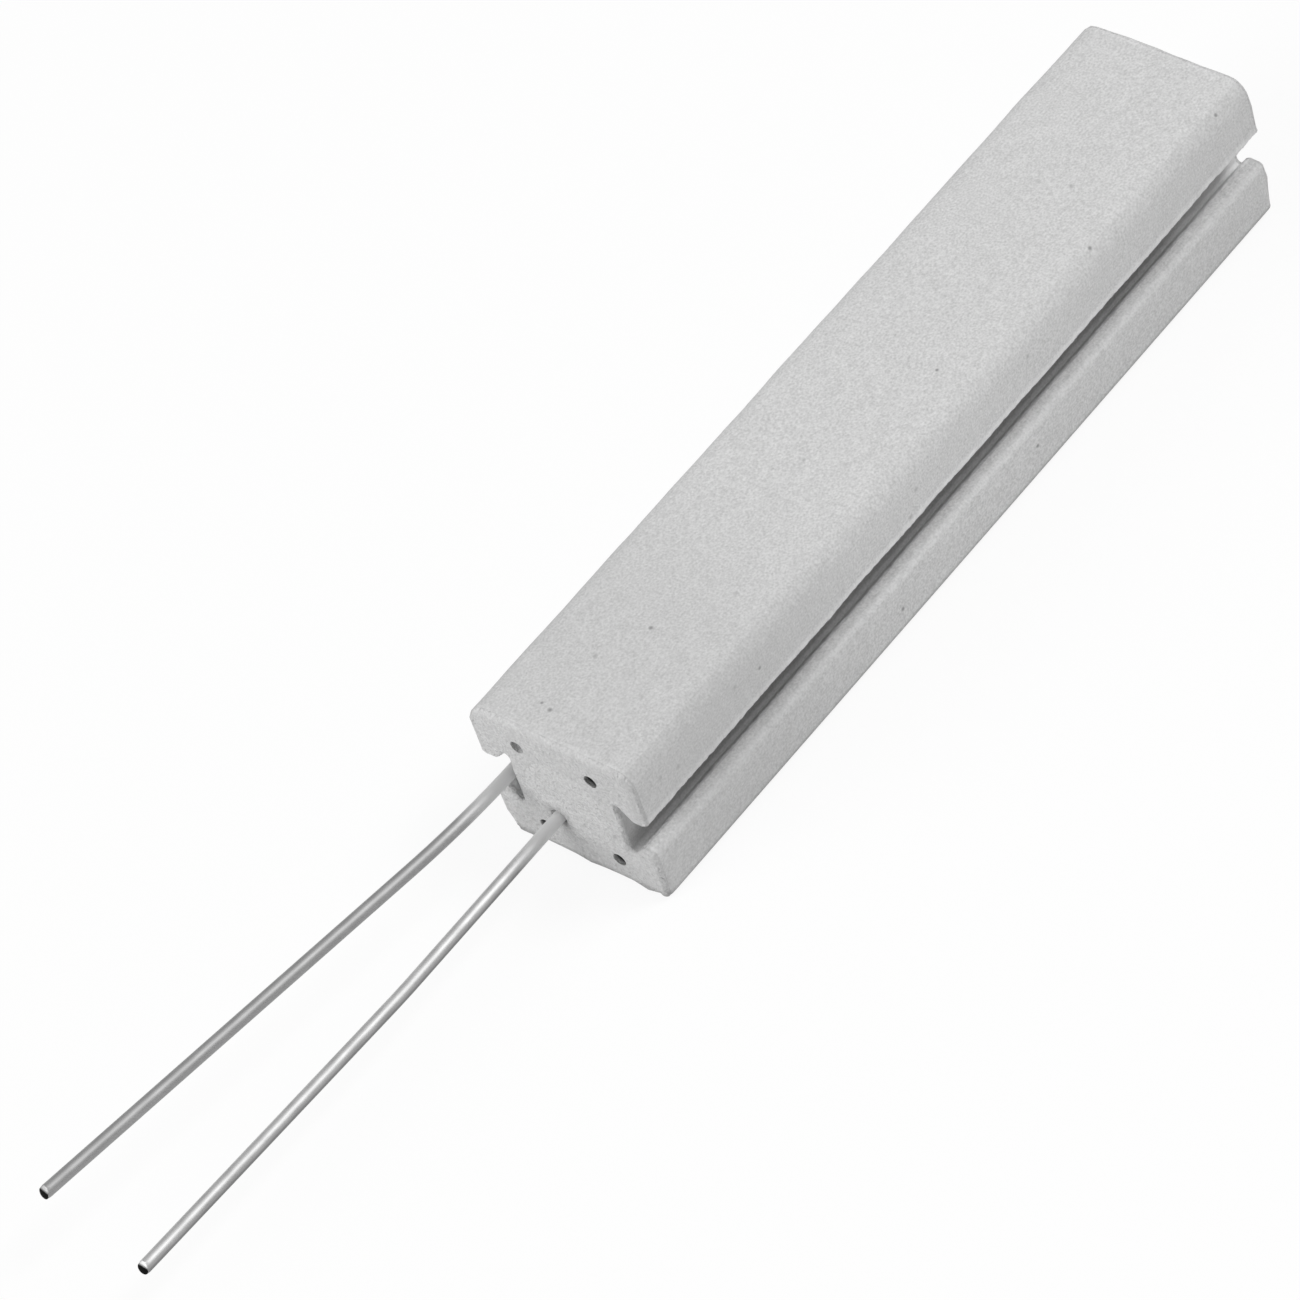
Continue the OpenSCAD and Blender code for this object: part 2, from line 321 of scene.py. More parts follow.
lead_d = 0.85 * mm
lead_sides = 24
lead_ring_step = 0.22 * mm
tight_bend_r = 1 * mm
slight_bend_r = 70 * mm
crank_angle = radians(50)
exit_side = 1.35 * mm
exit_drop = 2 * mm
element_splay = radians(2.2)
splay_outset = 13.6 * mm
return_splay = radians(8.3)
splay_inset = 1.5 * mm
snip_len = 0.28 * mm
snip_slant = 0.35
snip_squeeze = -0.3
bend_points = 10
tip_part = 0.25
tin_dark = (0.55, 0.55, 0.55)
tin_light = (0.84, 0.84, 0.84)
tin_dull = (0.3, 0.3, 0.3)
tin_roughness = (0.54, 0.66)
tin_line = (2.5 * mm, 0.05 * mm, 0.05 * mm)
tin_patch = (1.3 * mm, 0.5 * mm, 0.5 * mm)
tin_relief = 0.001 * mm
element_dullness = 0.0
return_dullness = 0.5
underside_shade_tone = (0.12, 0.12, 0.12)
underside_shade_full = 0.0
underside_shade_end = 0.7
element_underside_shade = 0.75
return_underside_shade = 0.3
cut_end_dark_and_shade = (0.005, 0.005, 0.005)
cut_shade_from = 0.2
cut_shade_to = 0.6

case_low, case_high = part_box("ceramic_case")
near_cap_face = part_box("near_end_cap")[0].x
far_cap_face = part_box("far_end_cap")[1].x


def bent_path(name, corners):
    """A starting mesh for a wire: its corners in order, each with the radius of its bend."""
    made = bpy.data.meshes.new(name)
    made.from_pydata([point for point, _ in corners], [(i, i + 1) for i in range(len(corners) - 1)], [])
    radii = made.attributes.new("bend_radius", "FLOAT", "POINT")
    for i, (_, radius) in enumerate(corners):
        radii.data[i].value = radius
    return made


def overlay(tree, shader, mask, tone):
    """Lays a tone over the shader's colour where the mask is 1."""
    base = shader.inputs["Base Color"]
    laid = put(tree, "ShaderNodeMix", data_type="RGBA")
    tree.links.new(mask, laid.inputs["Factor"])
    tree.links.new(base.links[0].from_socket, laid.inputs[6])
    laid.inputs[7].default_value = (*tone, 1)
    tree.links.new(laid.outputs[2], base)


def ramp(tree, value, start, end, top=1.0):
    """From the top value at start down to 0 at end."""
    return put(tree, "ShaderNodeMapRange", {
        "Value": value, "From Min": start, "From Max": end, "To Min": top, "To Max": 0.0}).outputs["Result"]


def mark(tree, name):
    """A value that the wire's shape tree stored under a name."""
    return put(tree, "ShaderNodeAttribute", attribute_name=name).outputs["Fac"]


def product(tree, first, *others):
    """All the values multiplied."""
    for other in others:
        first = maths(tree, "MULTIPLY", first, other)
    return first


def past(corner, angle, reach_x):
    """The point at x = reach_x on the line that leaves a corner towards -X, spread to +Y by an angle."""
    return Vector((reach_x, corner.y + (corner.x - reach_x) * tan(angle), corner.z))


crank_run = hypot(exit_side, exit_drop) / tan(crank_angle)
crank_middle = (near_cap_face + case_low.x) / 2
exit_z = axis_z - exit_drop
element_turn = Vector((case_low.x - splay_outset - slight_bend_r * tan(element_splay / 2), exit_side, exit_z))
element_corners = [
    (Vector((near_cap_face, 0, axis_z)), 0),
    (Vector((crank_middle + crank_run / 2, 0, axis_z)), tight_bend_r),
    (Vector((crank_middle - crank_run / 2, exit_side, exit_z)), tight_bend_r),
    (element_turn, slight_bend_r),
    (past(element_turn, element_splay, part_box("element_lead")[0].x + sin(element_splay) * lead_d / 2), 0),
]

return_low, return_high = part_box("return_lead")
loop_x = return_high.x - lead_d / 2
return_tip_y = return_high.y - cos(return_splay) * lead_d / 2
return_tip_x = return_low.x + sin(return_splay) * lead_d / 2
bend_start_x = case_low.x + splay_inset
return_turn_x = bend_start_x - slight_bend_r * tan(return_splay / 2)
return_y = return_tip_y - (return_turn_x - return_tip_x) * tan(return_splay)
return_turn = Vector((return_turn_x, return_y, axis_z))
return_corners = [
    (Vector((far_cap_face, 0, axis_z)), 0),
    (Vector((loop_x, 0, axis_z)), tight_bend_r),
    (Vector((loop_x, return_y, axis_z)), tight_bend_r),
    (return_turn, slight_bend_r),
    (past(return_turn, return_splay, return_tip_x), 0),
]

tinned_wire, tree, shader = metal_finish(
    "tinned_copper_wire", along_wire, tin_line, tin_patch, tin_dark, tin_light, tin_roughness, tin_relief)
overlay(tree, shader, mark(tree, "dull"), tin_dull)
# Painted shade: the leads' undersides are darker, the element lead's most.
above = mark(tree, "above")
underneath = ramp(tree, above, underside_shade_full, underside_shade_end)
overlay(tree, shader, product(tree, mark(tree, "underside_shade"), underneath), underside_shade_tone)
# The snipped end faces are near black on their lower part: bare cut copper, with painted shade where the cut
# faces down.
overlay(tree, shader, product(tree, mark(tree, "cut"), ramp(tree, above, cut_shade_from, cut_shade_to)), cut_end_dark_and_shade)

# The leads are painted pale and less metallic where they leave the case: painted light on their roots, which
# the case shades.
root_light_tone = (0.8, 0.8, 0.8)
root_light_strength = 0.85
root_light_full = 1.5 * mm
root_light_end = 4.5 * mm
root_light_inside = 1 * mm
lead_x = axes(tree, in_object(tree))[0]
outside = maths(tree, "SUBTRACT", case_low.x, lead_x)
near_face = maths(tree, "GREATER_THAN", outside, -root_light_inside)
root_light = maths(tree, "MULTIPLY", near_face, ramp(tree, outside, root_light_full, root_light_end, root_light_strength))
overlay(tree, shader, root_light, root_light_tone)
tree.links.new(maths(tree, "SUBTRACT", 1.0, root_light), shader.inputs["Metallic"])

tree, given, result = new_tree("bent_lead", {
    "Wire Radius": "Float", "Sides": "Int", "Ring Step": "Float", "Snip Length": "Float",
    "Snip Slant": "Float", "Axis Height": "Float", "Dullness": "Float", "Underside Shade": "Float",
    "Material": "Material"})
route = put(tree, "GeometryNodeMeshToCurve", {"Mesh": given["Geometry"]})
bends = put(tree, "GeometryNodeFilletCurve", {
    "Curve": route.outputs[0], "Count": bend_points, "Radius": named(tree, "bend_radius")}, mode="POLY")
even = put(tree, "GeometryNodeResampleCurve", {
    "Curve": bends.outputs[0], "Length": given["Ring Step"]}, mode="LENGTH")
total = put(tree, "GeometryNodeCurveLength", {"Curve": even.outputs[0]}).outputs["Length"]
wire = round_wire(tree, even.outputs[0], given["Wire Radius"], given["Sides"])
from_tip = maths(tree, "SUBTRACT", total, named(tree, "along"))
nearness = maths(tree, "SUBTRACT", 1.0, maths(tree, "DIVIDE", from_tip, given["Snip Length"]))
nearness = maths(tree, "MAXIMUM", nearness, 0.0)
height = axes(tree, put(tree, "GeometryNodeInputPosition").outputs[0])[2]
above = maths(tree, "SUBTRACT", height, given["Axis Height"])
slant = product(tree, above, given["Snip Slant"], nearness)
squeeze = product(tree, above, snip_squeeze, nearness, nearness)
offset = put(tree, "ShaderNodeCombineXYZ", {0: slant, 2: squeeze})
snip = put(tree, "GeometryNodeSetPosition", {"Geometry": wire, "Offset": offset.outputs[0]})
marked = keep(tree, snip.outputs[0], "above", maths(tree, "DIVIDE", above, given["Wire Radius"]))
at_end = maths(tree, "LESS_THAN", from_tip, product(tree, given["Ring Step"], tip_part))
marked = keep(tree, marked, "cut", at_end, domain="FACE")
marked = keep(tree, marked, "dull", given["Dullness"])
marked = keep(tree, marked, "underside_shade", given["Underside Shade"])
finish_tree(tree, marked, given["Material"], result)

for name, node, corners, tip_z, dullness, lead_underside_shade in (
        ("tinned_element_lead", "element_lead", element_corners, exit_z, element_dullness, element_underside_shade),
        ("tinned_return_lead", "return_lead", return_corners, axis_z, return_dullness, return_underside_shade)):
    lead = grow(name, bent_path(name + "_route", corners), tree, {
        "Wire Radius": lead_d / 2, "Sides": lead_sides, "Ring Step": lead_ring_step, "Snip Length": snip_len,
        "Snip Slant": snip_slant, "Axis Height": tip_z, "Dullness": dullness, "Underside Shade": lead_underside_shade,
        "Material": tinned_wire})
    seat(lead, node)

# Ceramic case
# An H section extruded in steatite-like clay, cut to length while soft and fired. Its edges are soft, most of
# all the top one on the return side. Its skin is matt with a fine grain, and a few dark specks burn through.

top_edge_r = 1.3 * mm
return_edge_r = 1.8 * mm
bottom_edge_r = 0.9 * mm
lip_r = 0.45 * mm
root_r = 0.2 * mm
foot_inset = 0.2 * mm
groove_depth = 2.35 * mm
groove_h = 5 * mm
mouth_h = 2.6 * mm
lip_land = 1.15 * mm
groove_drop = 0.15 * mm
end_edge_r = 0.3 * mm
bore_shrink = 0.01 * mm
hole_d = 0.9 * mm
hole_pitch_w = 5.7 * mm
hole_pitch_h = 7.2 * mm
hole_flare = 0.03 * mm
section_step = 0.9 * mm
stations = 451
end_crowding = 1.5
arc_points = 6
skin_wander = 0.2 * mm
wander_size = 7 * mm
skin_ripple = 0.02 * mm
ripple_size = 0.9 * mm
lip_ragged = 0.2 * mm
lip_rag_size = 0.25 * mm
end_ragged = 1.6
base_wear = 2.0
least_rounding = 0.6
most_rounding = 0.8 * lip_r
mouth_len = 0.4 * mm
cutter_overrun = 1.02
cutter_rings = 101
hole_sides = 20
bore_sides = 96

half_len = (case_high.x - case_low.x) / 2
half_w = (case_high.y - case_low.y) / 2
half_h = (case_high.z - case_low.z) / 2
cement_low, cement_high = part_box("cement_filling")
bore_r = (cement_high.y - cement_low.y) / 2 - bore_shrink


def section_outline():
    """The H section about its middle, a closed starting mesh of corners with radii and points between."""
    web, foot = half_w - groove_depth, half_w - foot_inset
    lower_lip, upper_lip = -groove_drop - mouth_h / 2, -groove_drop + mouth_h / 2
    right = [
        (foot, -half_h, bottom_edge_r), (foot, lower_lip, lip_r), (foot - lip_land, lower_lip, lip_r),
        (web, -groove_drop - groove_h / 2, root_r), (web, -groove_drop + groove_h / 2, root_r),
        (half_w - lip_land, upper_lip, lip_r), (half_w, upper_lip, lip_r)]
    top = [(half_w, half_h, return_edge_r), (-half_w, half_h, top_edge_r)]
    mirrored = [(-y, z, r) for y, z, r in reversed(right)]
    corners = [(Vector((y, z)), r) for y, z, r in right + top + mirrored]
    count = len(corners)
    arc_runs = []
    for i, (corner, r) in enumerate(corners):
        opening = (corners[i - 1][0] - corner).angle(corners[(i + 1) % count][0] - corner)
        arc_runs.append(r / tan(opening / 2))
    points = []
    for i, (corner, r) in enumerate(corners):
        points.append((corner, r))
        edge = corners[(i + 1) % count][0] - corner
        start = arc_runs[i] + section_step
        end = edge.length - arc_runs[(i + 1) % count] - section_step
        steps = max(0, int((end - start) / section_step))
        for k in range(steps):
            points.append((corner + edge.normalized() * (start + (end - start) * k / max(1, steps - 1)), 0))
    made = bpy.data.meshes.new("section_outline")
    count = len(points)
    made.from_pydata([(-p.x, -p.y, 0) for p, _ in points], [(i, (i + 1) % count) for i in range(count)], [])
    radii = made.attributes.new("corner_radius", "FLOAT", "POINT")
    lips = made.attributes.new("lip", "FLOAT", "POINT")
    base = made.attributes.new("base", "FLOAT", "POINT")
    for i, (p, r) in enumerate(points):
        radii.data[i].value = r
        lips.data[i].value = float(r == lip_r)
        base.data[i].value = float(p.y == -half_h)
    return made


poreless_share = 0.55
grain_weight = 0.85


def fired_grain():
    """Shared effect: the grain, mottling and pores of a fired or set mineral skin."""
    group = bpy.data.node_groups.new("fired_grain", "ShaderNodeTree")
    for label in ("Grain Size", "Mottle Size", "Pore Spacing", "Pore Size"):
        group.interface.new_socket(label, in_out="INPUT", socket_type="NodeSocketFloat")
    group.interface.new_socket("Place", in_out="INPUT", socket_type="NodeSocketVector")
    for label in ("Grain", "Mottle", "Pores"):
        group.interface.new_socket(label, in_out="OUTPUT", socket_type="NodeSocketFloat")
    given = group.nodes.new("NodeGroupInput").outputs
    result = group.nodes.new("NodeGroupOutput").inputs
    for label, size, detail in (("Grain", "Grain Size", 3.0), ("Mottle", "Mottle Size", 2.0)):
        spread = put(group, "ShaderNodeVectorMath", {"Vector": given["Place"]}, operation="SCALE")
        group.links.new(maths(group, "DIVIDE", 1.0, given[size]), spread.inputs["Scale"])
        group.links.new(noise(group, spread.outputs[0], 1.0, detail), result[label])
    cells = put(group, "ShaderNodeTexVoronoi", {"Vector": given["Place"]})
    group.links.new(maths(group, "DIVIDE", 1.0, given["Pore Spacing"]), cells.inputs["Scale"])
    chance = put(group, "ShaderNodeSeparateColor", {0: cells.outputs["Color"]})
    reach = maths(group, "DIVIDE", given["Pore Size"], given["Pore Spacing"])
    own_reach = maths(group, "MULTIPLY", reach, chance.outputs[1])
    inside = maths(group, "SUBTRACT", 1.0, maths(group, "DIVIDE", cells.outputs["Distance"], own_reach))
    some = maths(group, "GREATER_THAN", chance.outputs[0], poreless_share)
    group.links.new(maths(group, "MULTIPLY", maths(group, "MAXIMUM", inside, 0.0), some), result["Pores"])
    return group


def mineral_finish(name, dark, light, pore_tone, sizes, roughness, depth):
    """Matt mineral skin with the shared grain."""
    material, tree, shader = new_finish(name, specular=0.3)
    grain = put(tree, "ShaderNodeGroup", node_tree=bpy.data.node_groups["fired_grain"])
    tree.links.new(in_object(tree), grain.inputs["Place"])
    for label, size in sizes.items():
        grain.inputs[label].default_value = size
    blend = maths(tree, "ADD", maths(tree, "MULTIPLY", grain.outputs["Grain"], grain_weight),
                  maths(tree, "MULTIPLY", grain.outputs["Mottle"], 1 - grain_weight))
    skin = tones(tree, blend, dark, light)
    pored = put(tree, "ShaderNodeMix", data_type="RGBA")
    tree.links.new(grain.outputs["Pores"], pored.inputs["Factor"])
    tree.links.new(skin, pored.inputs[6])
    pored.inputs[7].default_value = (*pore_tone, 1)
    tree.links.new(pored.outputs[2], shader.inputs["Base Color"])
    tree.links.new(span(tree, grain.outputs["Mottle"], *roughness), shader.inputs["Roughness"])
    height = maths(tree, "SUBTRACT", grain.outputs["Grain"], grain.outputs["Pores"])
    relief(tree, shader, height, depth)
    return material, tree, shader


fired_grain()
ceramic_dark = (0.34, 0.34, 0.34)
ceramic_light = (0.92, 0.92, 0.92)
pore_tone = (0.42, 0.42, 0.42)
ceramic_roughness = (0.7, 0.9)
ceramic_relief = 0.02 * mm
case_ceramic, tree, shader = mineral_finish(
    "fired_ceramic", ceramic_dark, ceramic_light, pore_tone,
    {"Grain Size": 0.15 * mm, "Mottle Size": 0.9 * mm, "Pore Spacing": 1.6 * mm, "Pore Size": 0.25 * mm},
    ceramic_roughness, ceramic_relief)

# Iron specks in the clay burn out as small dark spots. Each has its place on the skin and its size.
speck_tone = (0.3, 0.3, 0.3)
specks = [
    ((-21.17, -0.32, 11.5), 0.2), ((-28.76, 1.99, 11.5), 0.15), ((-28.96, 1.2, 11.5), 0.2),
    ((-19.26, -6.45, 9.12), 0.18), ((-7.44, -6.25, 1.98), 0.2), ((6.54, -6.25, 2.54), 0.18),
    ((15.4, -5.84, 11.3), 0.18), ((3.03, -3.46, 11.5), 0.16), ((28.07, -6.14, 11.04), 0.17)]
place = in_object(tree)
spots = None
for spot, size in specks:
    away = vector_maths(tree, "DISTANCE", place, tuple(v * mm for v in spot))
    near = ramp(tree, away, size * mm / 3, size * mm)
    spots = near if spots is None else maths(tree, "MAXIMUM", spots, near)
overlay(tree, shader, spots, speck_tone)

# The lips and the ends' top edges are painted lighter in patches: rubbed wear, and painted highlights where
# these rounded edges catch the light. The lead end is a little greyer.
apart = axes(tree, place)
rub_and_highlight_tone = (0.95, 0.95, 0.95)
upper_rub_and_highlight = 0.8
lower_rub_and_highlight = 0.3
end_rub_and_highlight = 0.55
rub_highlight_width = 0.5 * mm
rub_highlight_patch = 0.8 * mm
grey_tone = (0.36, 0.36, 0.36)
grey_strength = 0.18
grey_from = -20 * mm
grey_to = -9 * mm


def from_line(tree, first, at_first, second, at_second):
    """Distance from a straight line that runs square to two coordinates."""
    one = maths(tree, "POWER", maths(tree, "SUBTRACT", first, at_first), 2.0)
    two = maths(tree, "POWER", maths(tree, "SUBTRACT", second, at_second), 2.0)
    return maths(tree, "SQRT", maths(tree, "ADD", one, two))


side_y = maths(tree, "ABSOLUTE", apart[1])
end_x = maths(tree, "ABSOLUTE", apart[0])
lip_z = axis_z - groove_drop
upper_lip_z = lip_z + mouth_h / 2 + 0.8 * lip_r
lower_lip_y = half_w - foot_inset - lip_r / 4
lower_lip_z = lip_z - mouth_h / 2 - lip_r / 4
end_edge_x = half_len - end_edge_r / 4
end_edge_z = case_high.z - end_edge_r / 4
edges = (
    (from_line(tree, side_y, half_w, apart[2], upper_lip_z), upper_rub_and_highlight),
    (from_line(tree, side_y, lower_lip_y, apart[2], lower_lip_z), lower_rub_and_highlight),
    (from_line(tree, end_x, end_edge_x, apart[2], end_edge_z), end_rub_and_highlight))
patchy = noise(tree, place, rub_highlight_patch)
for edge, strength in edges:
    rubbed_and_lit = ramp(tree, edge, rub_highlight_width / 4, rub_highlight_width, strength)
    overlay(tree, shader, maths(tree, "MULTIPLY", rubbed_and_lit, patchy), rub_and_highlight_tone)
overlay(tree, shader, ramp(tree, apart[0], grey_from, grey_to, grey_strength), grey_tone)

# The bottom edges are painted darker: painted contact shade where the case lies on the floor.
foot_shade = (0.3, 0.3, 0.3)
foot_shade_strength = 0.65
foot_shade_full = 0.5 * mm
foot_shade_end = 0.9 * mm
overlay(tree, shader, ramp(tree, apart[2], foot_shade_full, foot_shade_end, foot_shade_strength), foot_shade)

# The sides are a little greyer towards both ends.
side_grey_strength = 0.15
side_grey_from = 4 * mm
side_grey_full = 26 * mm
on_side = maths(tree, "GREATER_THAN", side_y, half_w - foot_inset - lip_r)
side_grey = maths(tree, "MULTIPLY", on_side, ramp(tree, end_x, side_grey_full, side_grey_from, side_grey_strength))
overlay(tree, shader, side_grey, grey_tone)

# The ends are rough, as the soft clay was cut there.
cut_size = 0.35 * mm
cut_relief = 0.3 * mm
at_cut = maths(tree, "GREATER_THAN", end_x, half_len - end_edge_r)
relief(tree, shader, maths(tree, "MULTIPLY", at_cut, noise(tree, place, cut_size, 3.0)), cut_relief)
# Painted shade: the end faces are darker towards -Y, away from the lamp at the lead end.
end_shade_strength = 0.2
end_shade = ramp(tree, apart[1], -half_w, half_w, end_shade_strength)
overlay(tree, shader, maths(tree, "MULTIPLY", at_cut, end_shade), grey_tone)

# The grooves are painted darker: painted shade in the recesses behind the lips.
groove_shade_tone = (0.3, 0.3, 0.3)
groove_shade_strength = 0.35
behind_lips = maths(tree, "LESS_THAN", side_y, half_w - lip_land)
groove_z = maths(tree, "ABSOLUTE", maths(tree, "SUBTRACT", apart[2], lip_z))
between = maths(tree, "LESS_THAN", groove_z, groove_h / 2 + root_r)
inside = product(tree, behind_lips, between, maths(tree, "SUBTRACT", 1.0, at_cut))
overlay(tree, shader, maths(tree, "MULTIPLY", inside, groove_shade_strength), groove_shade_tone)

# The far ends of the grooves are painted lighter again.
groove_end_pale_tone = (0.92, 0.92, 0.92)
groove_end_pale_strength = 0.55
groove_end_pale_from = 22 * mm
groove_end_pale_full = 29 * mm
groove_end_pale = ramp(tree, apart[0], groove_end_pale_full, groove_end_pale_from, groove_end_pale_strength)
overlay(tree, shader, maths(tree, "MULTIPLY", inside, groove_end_pale), groove_end_pale_tone)

# The small holes are painted near black inward from their mouths: painted shade, where little light reaches.
hole_shade_tone = (0.03, 0.03, 0.03)
hole_dark_from = 0.03 * mm
hole_dark_full = 0.35 * mm
off_axis_z = maths(tree, "ABSOLUTE", maths(tree, "SUBTRACT", apart[2], axis_z))
from_hole = from_line(tree, side_y, hole_pitch_w / 2, off_axis_z, hole_pitch_h / 2)
in_hole = maths(tree, "LESS_THAN", from_hole, hole_d / 2 + hole_flare)
deep = ramp(tree, maths(tree, "SUBTRACT", half_len, end_x), hole_dark_full, hole_dark_from)
shaded = product(tree, in_hole, deep)
overlay(tree, shader, shaded, hole_shade_tone)

# Cement has run into the upper hole on the return side.
filled_tone = (0.7, 0.7, 0.7)
return_side = maths(tree, "GREATER_THAN", apart[1], 0.0)
upper_half = maths(tree, "GREATER_THAN", apart[2], axis_z)
overlay(tree, shader, product(tree, return_side, upper_half, shaded), filled_tone)

tree, given, result = new_tree("extruded_case", {
    "Half Length": "Float", "Stations": "Int", "End Crowding": "Float", "Arc Points": "Int",
    "End Rounding": "Float", "Most Rounding": "Float", "End Ragged": "Float", "Base Wear": "Float",
    "Wander": "Float", "Wander Size": "Float", "Ripple": "Float", "Ripple Size": "Float",
    "Lip Ragged": "Float", "Lip Rag Size": "Float", "Axis Height": "Float", "Bore Radius": "Float",
    "Hole Radius": "Float", "Hole Flare": "Float", "Hole Pitch W": "Float", "Hole Pitch H": "Float",
    "Material": "Material"})
outline = put(tree, "GeometryNodeMeshToCurve", {"Mesh": given["Geometry"]})
outline = put(tree, "GeometryNodeFilletCurve", {
    "Curve": outline.outputs[0], "Count": given["Arc Points"],
    "Radius": named(tree, "corner_radius")}, mode="POLY")
outline = put(tree, "GeometryNodeSetCurveNormal", {"Curve": outline.outputs[0]}, mode="Z_UP")
normal = put(tree, "GeometryNodeInputNormal").outputs[0]
outline = keep(tree, outline.outputs[0], "outward", normal, "FLOAT_VECTOR")

start = put(tree, "ShaderNodeCombineXYZ", {0: maths(tree, "MULTIPLY", given["Half Length"], -1.0)}).outputs[0]
end = put(tree, "ShaderNodeCombineXYZ", {0: given["Half Length"]}).outputs[0]
run = put(tree, "GeometryNodeCurvePrimitiveLine", {"Start": start, "End": end})
run = put(tree, "GeometryNodeResampleCurve", {"Curve": run.outputs[0], "Count": given["Stations"]})
share = put(tree, "GeometryNodeSplineParameter").outputs["Factor"]
share = maths(tree, "SUBTRACT", maths(tree, "MULTIPLY", share, 2.0), 1.0)
to_end = maths(tree, "SUBTRACT", 1.0, maths(tree, "ABSOLUTE", share))
crowd = maths(tree, "SUBTRACT", 1.0, maths(tree, "POWER", to_end, given["End Crowding"]))
station = product(tree, crowd, given["Half Length"], maths(tree, "SIGN", share))
place = put(tree, "ShaderNodeCombineXYZ", {0: station})
run = put(tree, "GeometryNodeSetPosition", {"Geometry": run.outputs[0], "Position": place.outputs[0]})
run = put(tree, "GeometryNodeSetCurveNormal", {"Curve": run.outputs[0]}, mode="Z_UP")
body = put(tree, "GeometryNodeCurveToMesh", {
    "Curve": run.outputs[0], "Profile Curve": outline, "Fill Caps": True}).outputs["Mesh"]

spot = put(tree, "GeometryNodeInputPosition").outputs[0]
spot_x = axes(tree, spot)[0]
turned = axes(tree, named(tree, "outward", "FLOAT_VECTOR"))
outward = put(tree, "ShaderNodeCombineXYZ", {
    1: maths(tree, "MULTIPLY", turned[0], -1.0), 2: maths(tree, "MULTIPLY", turned[1], -1.0)})


def sized_noise(tree, spot, size):
    """Noise from -0.5 to 0.5 whose patches have the size of a tree's input."""
    made = put(tree, "ShaderNodeTexNoise", {"Vector": spot, "Detail": 2.0})
    tree.links.new(maths(tree, "DIVIDE", 1.0, size), made.inputs["Scale"])
    return maths(tree, "SUBTRACT", made.outputs["Fac"], 0.5)


ragged = product(tree, sized_noise(tree, spot, given["Ripple Size"]), 2.0, given["End Ragged"])
rounding = maths(tree, "MULTIPLY", given["End Rounding"], maths(tree, "ADD", 1.0, ragged))
rounding = maths(tree, "MAXIMUM", rounding, maths(tree, "MULTIPLY", given["End Rounding"], least_rounding))
rounding = maths(tree, "MINIMUM", rounding, given["Most Rounding"])
extra_wear = maths(tree, "MULTIPLY", named(tree, "base"), maths(tree, "SUBTRACT", given["Base Wear"], 1.0))
rounding = maths(tree, "MULTIPLY", rounding, maths(tree, "ADD", extra_wear, 1.0))
from_end = maths(tree, "SUBTRACT", given["Half Length"], maths(tree, "ABSOLUTE", spot_x))
reach = maths(tree, "MAXIMUM", maths(tree, "SUBTRACT", 1.0, maths(tree, "DIVIDE", from_end, rounding)), 0.0)
arc = maths(tree, "SQRT", maths(tree, "SUBTRACT", 1.0, maths(tree, "MULTIPLY", reach, reach)))
inset = maths(tree, "MULTIPLY", rounding, maths(tree, "SUBTRACT", arc, 1.0))
lift = maths(tree, "ADD", product(tree, sized_noise(tree, spot, given["Wander Size"]), given["Wander"]),
             product(tree, sized_noise(tree, spot, given["Ripple Size"]), given["Ripple"]))
rags = product(tree, sized_noise(tree, spot, given["Lip Rag Size"]), given["Lip Ragged"])
lift = maths(tree, "ADD", lift, maths(tree, "MULTIPLY", rags, named(tree, "lip")))
lift = maths(tree, "MULTIPLY", lift, maths(tree, "SUBTRACT", 1.0, named(tree, "base")))
shift = put(tree, "ShaderNodeVectorMath", {
    0: outward.outputs[0], "Scale": maths(tree, "ADD", inset, lift)}, operation="SCALE")
body = put(tree, "GeometryNodeSetPosition", {"Geometry": body, "Offset": shift.outputs[0]}).outputs[0]


def pin(tree, given, start, end, radius, flare, sides):
    """A cutter along the case that widens towards its ends."""
    line = put(tree, "GeometryNodeCurvePrimitiveLine", {
        "Start": vector_maths(tree, "MULTIPLY", start, (cutter_overrun, 1, 1)),
        "End": vector_maths(tree, "MULTIPLY", end, (cutter_overrun, 1, 1))})
    fine = put(tree, "GeometryNodeResampleCurve", {"Curve": line.outputs[0], "Count": cutter_rings})
    x = axes(tree, put(tree, "GeometryNodeInputPosition").outputs[0])[0]
    gap = maths(tree, "ABSOLUTE", maths(tree, "SUBTRACT", given["Half Length"], maths(tree, "ABSOLUTE", x)))
    mouth = maths(tree, "MAXIMUM", maths(tree, "SUBTRACT", 1.0, maths(tree, "DIVIDE", gap, mouth_len)), 0.0)
    thick = maths(tree, "ADD", radius, maths(tree, "MULTIPLY", mouth, flare))
    ring = put(tree, "GeometryNodeCurvePrimitiveCircle", {"Resolution": sides, "Radius": 1.0})
    made = put(tree, "GeometryNodeCurveToMesh", {
        "Curve": fine.outputs[0], "Profile Curve": ring.outputs["Curve"], "Scale": thick, "Fill Caps": True})
    return made.outputs["Mesh"]


